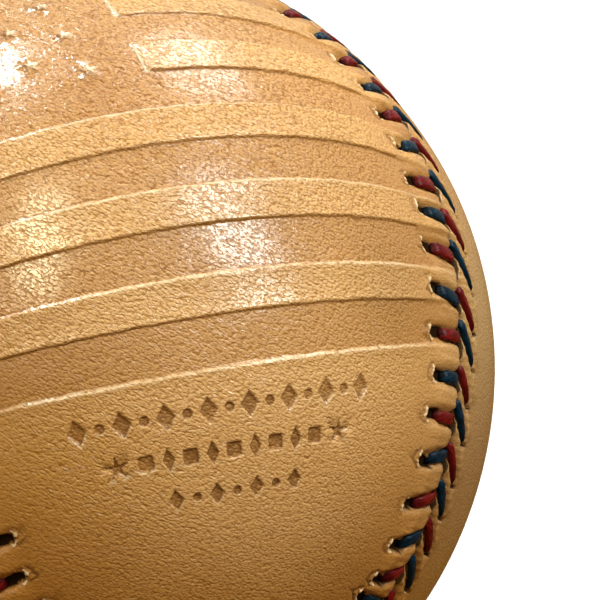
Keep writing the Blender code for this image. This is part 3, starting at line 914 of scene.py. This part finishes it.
class Nodes:
    """Short ways to build the nodes of a material or a world."""

    def __init__(self, name, kind="materials", shader="Principled BSDF"):
        owner = getattr(bpy.data, kind).new(name)
        owner.use_nodes = True
        self.owner, self.tree = owner, owner.node_tree
        self.shader = self.tree.nodes[shader]

    def feed(self, socket, value):
        if isinstance(value, Value):
            self.tree.links.new(value.socket, socket)
        else:
            socket.default_value = value

    def put(self, name, value):
        self.feed(self.shader.inputs[name], value)

    def add(self, kind, values=None, output=0, **props):
        node = self.tree.nodes.new(kind)
        for key, value in props.items():
            setattr(node, key, value)
        for key, value in (values or {}).items():
            self.feed(node.inputs[key], value)
        return Value(self, node.outputs[output])

    def coordinates(self, name):
        return self.add("ShaderNodeTexCoord", None, name)

    def attribute(self, name):
        return self.add("ShaderNodeAttribute", None, "Fac", attribute_name=name)

    def math(self, op, a, b):
        return self.add("ShaderNodeMath", {0: a, 1: b}, operation=op)

    def vector(self, op, a, b, output=0):
        return self.add("ShaderNodeVectorMath", {0: a, 1: b}, output, operation=op)

    def step(self, value, low, high):
        return self.add("ShaderNodeMapRange", {"Value": value, "From Min": low, "From Max": high},
                        interpolation_type="SMOOTHSTEP")

    def mix(self, factor, a, b, blend="MIX"):
        """A mix of colours; sockets 6 and 7 take them, and output 2 is the colour."""
        a, b = ((*c, 1.0) if isinstance(c, tuple) else c for c in (a, b))
        return self.add("ShaderNodeMix", {0: factor, 6: a, 7: b}, 2, data_type="RGBA", blend_type=blend)

    def ramp(self, value, stops):
        colour = self.add("ShaderNodeValToRGB", {"Fac": value})
        elements = colour.socket.node.color_ramp.elements
        while len(elements) < len(stops):
            elements.new(0.5)
        for element, (place, tint) in zip(elements, stops):
            element.position, element.color = place, (*tint, 1.0)
        return colour

    def even_ramp(self, value, colours):
        return self.ramp(value, [(i / (len(colours) - 1), c) for i, c in enumerate(colours)])

    def noise(self, vector, scale, detail=4.0, rough=0.55, distortion=0.0, output="Fac"):
        return self.add("ShaderNodeTexNoise", {
            "Vector": vector, "Scale": scale, "Detail": detail, "Roughness": rough,
            "Distortion": distortion}, output)

    def leaning(self, vector, degrees, cell):
        """Coordinates that count in long cells, turned about Y."""
        return self.add("ShaderNodeMapping", {
            "Vector": vector, "Rotation": (0.0, radians(degrees), 0.0), "Scale": cell},
            vector_type="TEXTURE")

    def bump(self, height, strength, distance):
        self.put("Normal", self.add("ShaderNodeBump", {
            "Height": height, "Strength": strength, "Distance": distance}))


def leather_material():
    n = Nodes("tan_leather_grain")
    place = n.coordinates("Object")
    sunk, crease, crest, pit_shade, raw, near = (n.attribute(key) for key in SHARES)

    fine = n.noise(place, 7000.0, 2.0, 0.6)
    broad = n.noise(place, 55.0, 4.0, 0.55, 0.6)
    mottle = n.noise(place, 420.0, 5.0, 0.6, 0.3)
    wrinkle = n.noise(place, 900.0, 3.0, 0.6, 1.2)
    torn = n.noise(place, 3600.0, 2.0, 0.6)

    def pebbles(at):
        """Long, leaning pebbles of grain: height, cells and pores."""
        at = n.leaning(at, 28, (0.00034, 0.00026, 0.00020))
        shift = n.vector("SUBTRACT", n.noise(at, 0.9, 2.0, 0.5, 0.0, "Color"), (0.5, 0.5, 0.5))
        shift = n.add("ShaderNodeVectorMath", {0: shift, "Scale": 1.4}, operation="SCALE")
        bent = n.vector("ADD", at, shift)
        cells = n.add("ShaderNodeTexVoronoi", {"Vector": bent, "Scale": 1.0}, feature="F1")
        pores = n.noise(at, 1.6, 3.0, 0.6)
        return cells * cells * -1.3 + pores * 0.9, cells, pores

    # the pebbles here, and a little higher up, whose difference paints light and shade by slope
    pebble, cells, pores = pebbles(place)
    higher = pebbles(n.vector("ADD", place, (-0.000015, 0.0, 0.00007)))[0]

    # painted shade on the undersides and in the grooves of the pebbles, and painted light on their
    # upper sides, over the grain's own fine tone
    calm = 1.0 - near * 0.60
    tone = (pebble - higher) * 0.80 + (0.5 - cells) * 0.30 + (fine - 0.5) * 0.6
    tone = tone * calm + 0.5
    colour = n.mix(1.0, n.ramp(tone, GRAIN_AND_PAINTED_SHADE_TONES), n.ramp(broad, PATCH_TONES), "MULTIPLY")
    # the tan is deeper on the underside and drifts in broad spots
    # painted shade darkens and warms the underside, and broad spots shift the tan, partly the leather's
    # own uneven tan and partly painted light and shade
    under = n.vector("DOT_PRODUCT", place, tuple(a / RADIUS / MM for a in SHADED_UNDERSIDE), "Value")
    colour = n.mix(1.0, colour, n.ramp(under, UNDERSIDE_SHADE_TONES), "MULTIPLY")
    # broad spots, partly uneven tan and partly painted light and shade
    for side, reach, tint in TAN_LIGHT_AND_SHADE_SPOTS:
        off = n.vector("DISTANCE", place, tuple(a * RADIUS * MM for a in side), "Value")
        colour = n.mix(n.step(off, reach * RADIUS * MM, 0.0), colour, tint, "MULTIPLY")
    colour = n.mix(sunk, colour, SUNK_TINT, "MULTIPLY")
    # painted highlights on the crests, and dark creases that are painted shade and partly stain, which
    # come and go along the embossing
    long_fade = n.step(broad, 0.40, 0.60)
    strong = (crest - 0.9).clamp() * 0.7
    crest = crest * n.math("MAXIMUM", strong, long_fade * 0.85 + 0.15)
    crease = crease * (1.0 - long_fade * 0.45)
    fading = (wrinkle - 0.35).clamp() * 1.6 + 0.10
    crest_highlight = crest * (tone * 0.50 + fading)
    colour = n.mix((crest_highlight + 0.0).clamp(), colour, CREST_HIGHLIGHT)
    # the painted shade in the creases is patchy, and deeper where the grain's painted shade is dark
    patchy = ((mottle + wrinkle) * 2.4 - 1.75).clamp()
    patchy = (patchy + (0.95 - tone * 1.2)).clamp()
    colour = n.mix((crease * (patchy * 0.62 + 0.12)).clamp(), colour, CREASE_STAIN_AND_SHADE)
    # raw leather, frayed and cracked, and painted shade in the holes, under the edges and on the cut
    # faces
    frayed = n.step(raw + (torn - 0.5) * 1.7, 0.30, 0.62) * (raw * 1.6).clamp()
    colour = n.mix(frayed * 0.92, colour, FRAYED)
    cracked = ((raw * 1.2).clamp() - frayed).clamp() * 0.70
    colour = n.mix(cracked, colour, CRACKED)
    n.put("Base Color", n.mix((pit_shade * 0.98).clamp(), colour, PIT_SHADE_COLOUR))
    n.put("Roughness", (pores * 0.10 + 0.15 - sunk * 0.03 + raw * 0.40 + pit_shade * 0.40).clamp())

    # flat-topped pebbles between narrow grooves, so that the tops shine
    tops = n.step(pebble, -0.12, 0.10)
    waves = n.noise(n.leaning(place, 30, (0.00105, 0.00060, 0.00036)), 1.0, 3.0, 0.55, 0.5)
    grain = tops * 0.60 + pebble * 0.06 + fine * 0.05 + n.step(waves, 0.39, 0.50) * 0.85
    grain = grain * (calm - sunk * 0.36) + mottle * 0.10 + wrinkle * (near * 0.35)
    n.bump(grain, 1.0, 0.000028)
    open_cut = (raw + pit_shade + crease * 0.8).clamp()
    n.put("Specular IOR Level", (1.0 - open_cut) * (tops * 0.40 + 0.20))
    n.put("IOR", 1.5)
    return n.owner


def thread_material(name, dark, mid, light):
    n = Nodes(name)
    uv = n.coordinates("UV")
    along = n.add("ShaderNodeSeparateXYZ", {0: uv})
    twisted = n.add("ShaderNodeCombineXYZ", {0: along, 1: along.other("Y") + along * 0.10})
    stretched = n.add("ShaderNodeMapping", {"Vector": twisted, "Scale": (0.9, 18.0, 1.0)})
    fibre = n.noise(stretched, 1.0, 4.0, 0.6)
    patch = n.noise(uv, 0.7, 2.0, 0.5)
    # the deep share paints shadow on the thread
    deep = n.attribute("deep")
    colour = n.ramp(fibre, [(0.30, dark), (0.52, mid), (0.74, light)])
    colour = n.mix(((patch - 0.45).clamp() * 0.8).clamp(), colour, light)
    n.put("Base Color", n.mix(deep * 0.95, colour, THREAD_SHADOW))
    n.put("Roughness", fibre * 0.26 + 0.16)
    n.put("Specular IOR Level", (1.0 - deep) * 0.13)
    n.bump(fibre, 0.5, 0.00008)
    return n.owner


def speckled_material(name, colours, scale, rough, bump_depth):
    n = Nodes(name)
    place = n.coordinates("Object")
    grains = n.add("ShaderNodeTexVoronoi", {"Vector": place, "Scale": scale}, feature="F1")
    tone = n.add("ShaderNodeSeparateColor", {"Color": grains.other("Color")})
    dust = n.noise(place, scale * 3, 3.0)
    n.put("Base Color", n.mix(0.25, n.even_ramp(tone, colours), n.even_ramp(dust, colours)))
    n.put("Roughness", dust * 0.2 + rough)
    n.bump(grains, 0.6, bump_depth)
    return n.owner


def yarn_material(name, colours, scale):
    n = Nodes(name)
    place = n.coordinates("Object")
    strands = n.add("ShaderNodeTexWave", {
        "Vector": place, "Scale": scale, "Distortion": 6.0, "Detail": 3.0, "Detail Scale": 1.5},
        "Fac", wave_type="BANDS")
    fuzz = n.noise(place, scale * 9, 4.0, 0.7)
    n.put("Base Color", n.mix(0.4, n.even_ramp(strands, colours), n.even_ramp(fuzz, colours)))
    n.put("Roughness", fuzz * 0.2 + 0.75)
    n.bump(strands + fuzz * 0.5, 0.7, 0.0004)
    n.put("Sheen Weight", 0.3)
    return n.owner


leather = leather_material()
make_cover("front_leather", FRONT, "front_cover", leather)
make_cover("back_leather", BACK, "back_cover", leather)
red_wax = thread_material("red_waxed_fibre", *RED_WAX)
blue_wax = thread_material("blue_waxed_fibre", *BLUE_WAX)
make_thread("red_lacing", 0, "red_thread", red_wax)
make_thread("blue_lacing", 1, "blue_thread", blue_wax)

# Finishes of the layers inside, by the start of the node's name
finishes = {
    "cork_core": speckled_material("cork_grain", CORK, 900.0, 0.75, 0.0003),
    "black_shell": speckled_material("black_rubber_moulded", BLACK_RUBBER, *RUBBER),
    "rubber_washer": speckled_material("red_rubber_washer", RED_RUBBER, *RUBBER),
    "red_shell": speckled_material("red_rubber_moulded", RED_RUBBER, *RUBBER),
    "wool_winding_inner": yarn_material("grey_wool_inner", GREY_WOOL, 220.0),
    "wool_winding_middle": yarn_material("white_wool", WHITE_WOOL, 260.0),
    "wool_winding_outer": yarn_material("grey_wool_outer", GREY_WOOL, 260.0),
    "fine_yarn_winding": yarn_material("fine_white_yarn", FINE_YARN, 420.0),
}
for node_name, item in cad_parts.items():
    for start, mat in finishes.items():
        if node_name.startswith(start):
            item.data.materials.clear()
            item.data.materials.append(mat)

# Floor, light and camera, in metres but for the lens and sensor
FLOOR_HALF, FLOOR_GAP = 6.0, 0.05 * MM
CAMERA_PLACE = Vector((19.94, -322.07, 74.63)) * MM
CAMERA_TILT = 12
LENS, SENSOR = 225.05, 36.0
CLIP = 0.01, 100.0
WORLD_TONES = [(0.40, (0.16, 0.072, 0.012)), (0.85, (0.99, 1.00, 0.95))]
# Name, azimuth, elevation, distance, width, height, power and colour
LAMPS = [
    ("key_lamp", 60, 42, 1.0, 0.24, 0.15, 4.2, (0.97, 1.0, 0.99)),
    ("back_lamp", 139, 60, 1.0, 0.24, 0.18, 2.0, (1.0, 1.0, 1.0)),
    ("top_lamp", -133, 74, 1.0, 0.13, 0.13, 2.8, (1.0, 1.0, 1.0)),
    ("front_lamp", -6, 44, 1.2, 0.14, 0.15, 2.6, (1.0, 0.93, 0.75)),
]
CARDS = [
    ("key_card", 61, 40, 1.0, 0.30, 0.56, 9.2, (0.96, 1.0, 1.0)),
    ("back_card", 135, 60, 1.0, 0.34, 0.28, 3.9, (1.0, 0.99, 0.97)),
    ("top_card", -125, 71, 1.0, 0.18, 0.20, 12.5, (1.0, 1.0, 0.98)),
    ("front_card", -8, 46, 1.2, 0.20, 0.60, 8.8, (1.0, 0.94, 0.62)),
]


def make_floor():
    n = Nodes("pale_floor")
    n.put("Base Color", n.ramp(n.noise(n.coordinates("Object"), 3.0, 2.0), FLOOR_TONES))
    n.put("Roughness", 0.9)
    n.put("Specular IOR Level", 0.1)
    size, low = FLOOR_HALF / MM, -RADIUS - FLOOR_GAP / MM
    verts = np.array([(x * size, y * size, low) for x, y in ((-1, -1), (1, -1), (1, 1), (-1, 1))])
    item = new_mesh("floor", verts, [(0, 1, 2, 3)], n.owner)
    item.visible_diffuse = item.visible_glossy = False


def area_light(name, azimuth, elevation, distance, width, height, power, colour):
    """A soft light; azimuth 0 is in front, at the camera, and 90 to its right."""
    a, e = radians(azimuth), radians(elevation)
    place = Vector((sin(a) * cos(e), -cos(a) * cos(e), sin(e))) * distance
    data = bpy.data.lights.new(name, "AREA")
    data.shape = "RECTANGLE"
    data.size, data.size_y = width, height
    data.energy, data.color = power, colour
    item = new_object(name, data)
    item.location = place
    item.rotation_mode = "QUATERNION"
    item.rotation_quaternion = (-place).to_track_quat("-Z", "Y")
    return item


def make_world():
    """A plain dome, brighter above than below."""
    n = Nodes("studio", "worlds", "Background")
    height = n.add("ShaderNodeSeparateXYZ", {0: n.coordinates("Generated")}, "Z")
    rise = n.add("ShaderNodeMapRange", {"Value": height, "From Min": -1.0})
    n.put("Color", n.ramp(rise, WORLD_TONES))
    studio.world = n.owner


def make_camera():
    data = bpy.data.cameras.new("camera")
    data.sensor_width, data.lens = SENSOR, LENS
    data.clip_start, data.clip_end = CLIP
    item = new_object("camera", data)
    item.location = CAMERA_PLACE
    item.rotation_euler = (pi / 2 - radians(CAMERA_TILT), 0, 0)
    bpy.context.scene.camera = item


make_floor()
# lamps give soft light, and cards only the shine
for light in LAMPS:
    area_light(*light).visible_glossy = False
for light in CARDS:
    area_light(*light).visible_diffuse = False
make_world()
studio.view_settings.view_transform = "Standard"
make_camera()

bpy.context.view_layer.update()
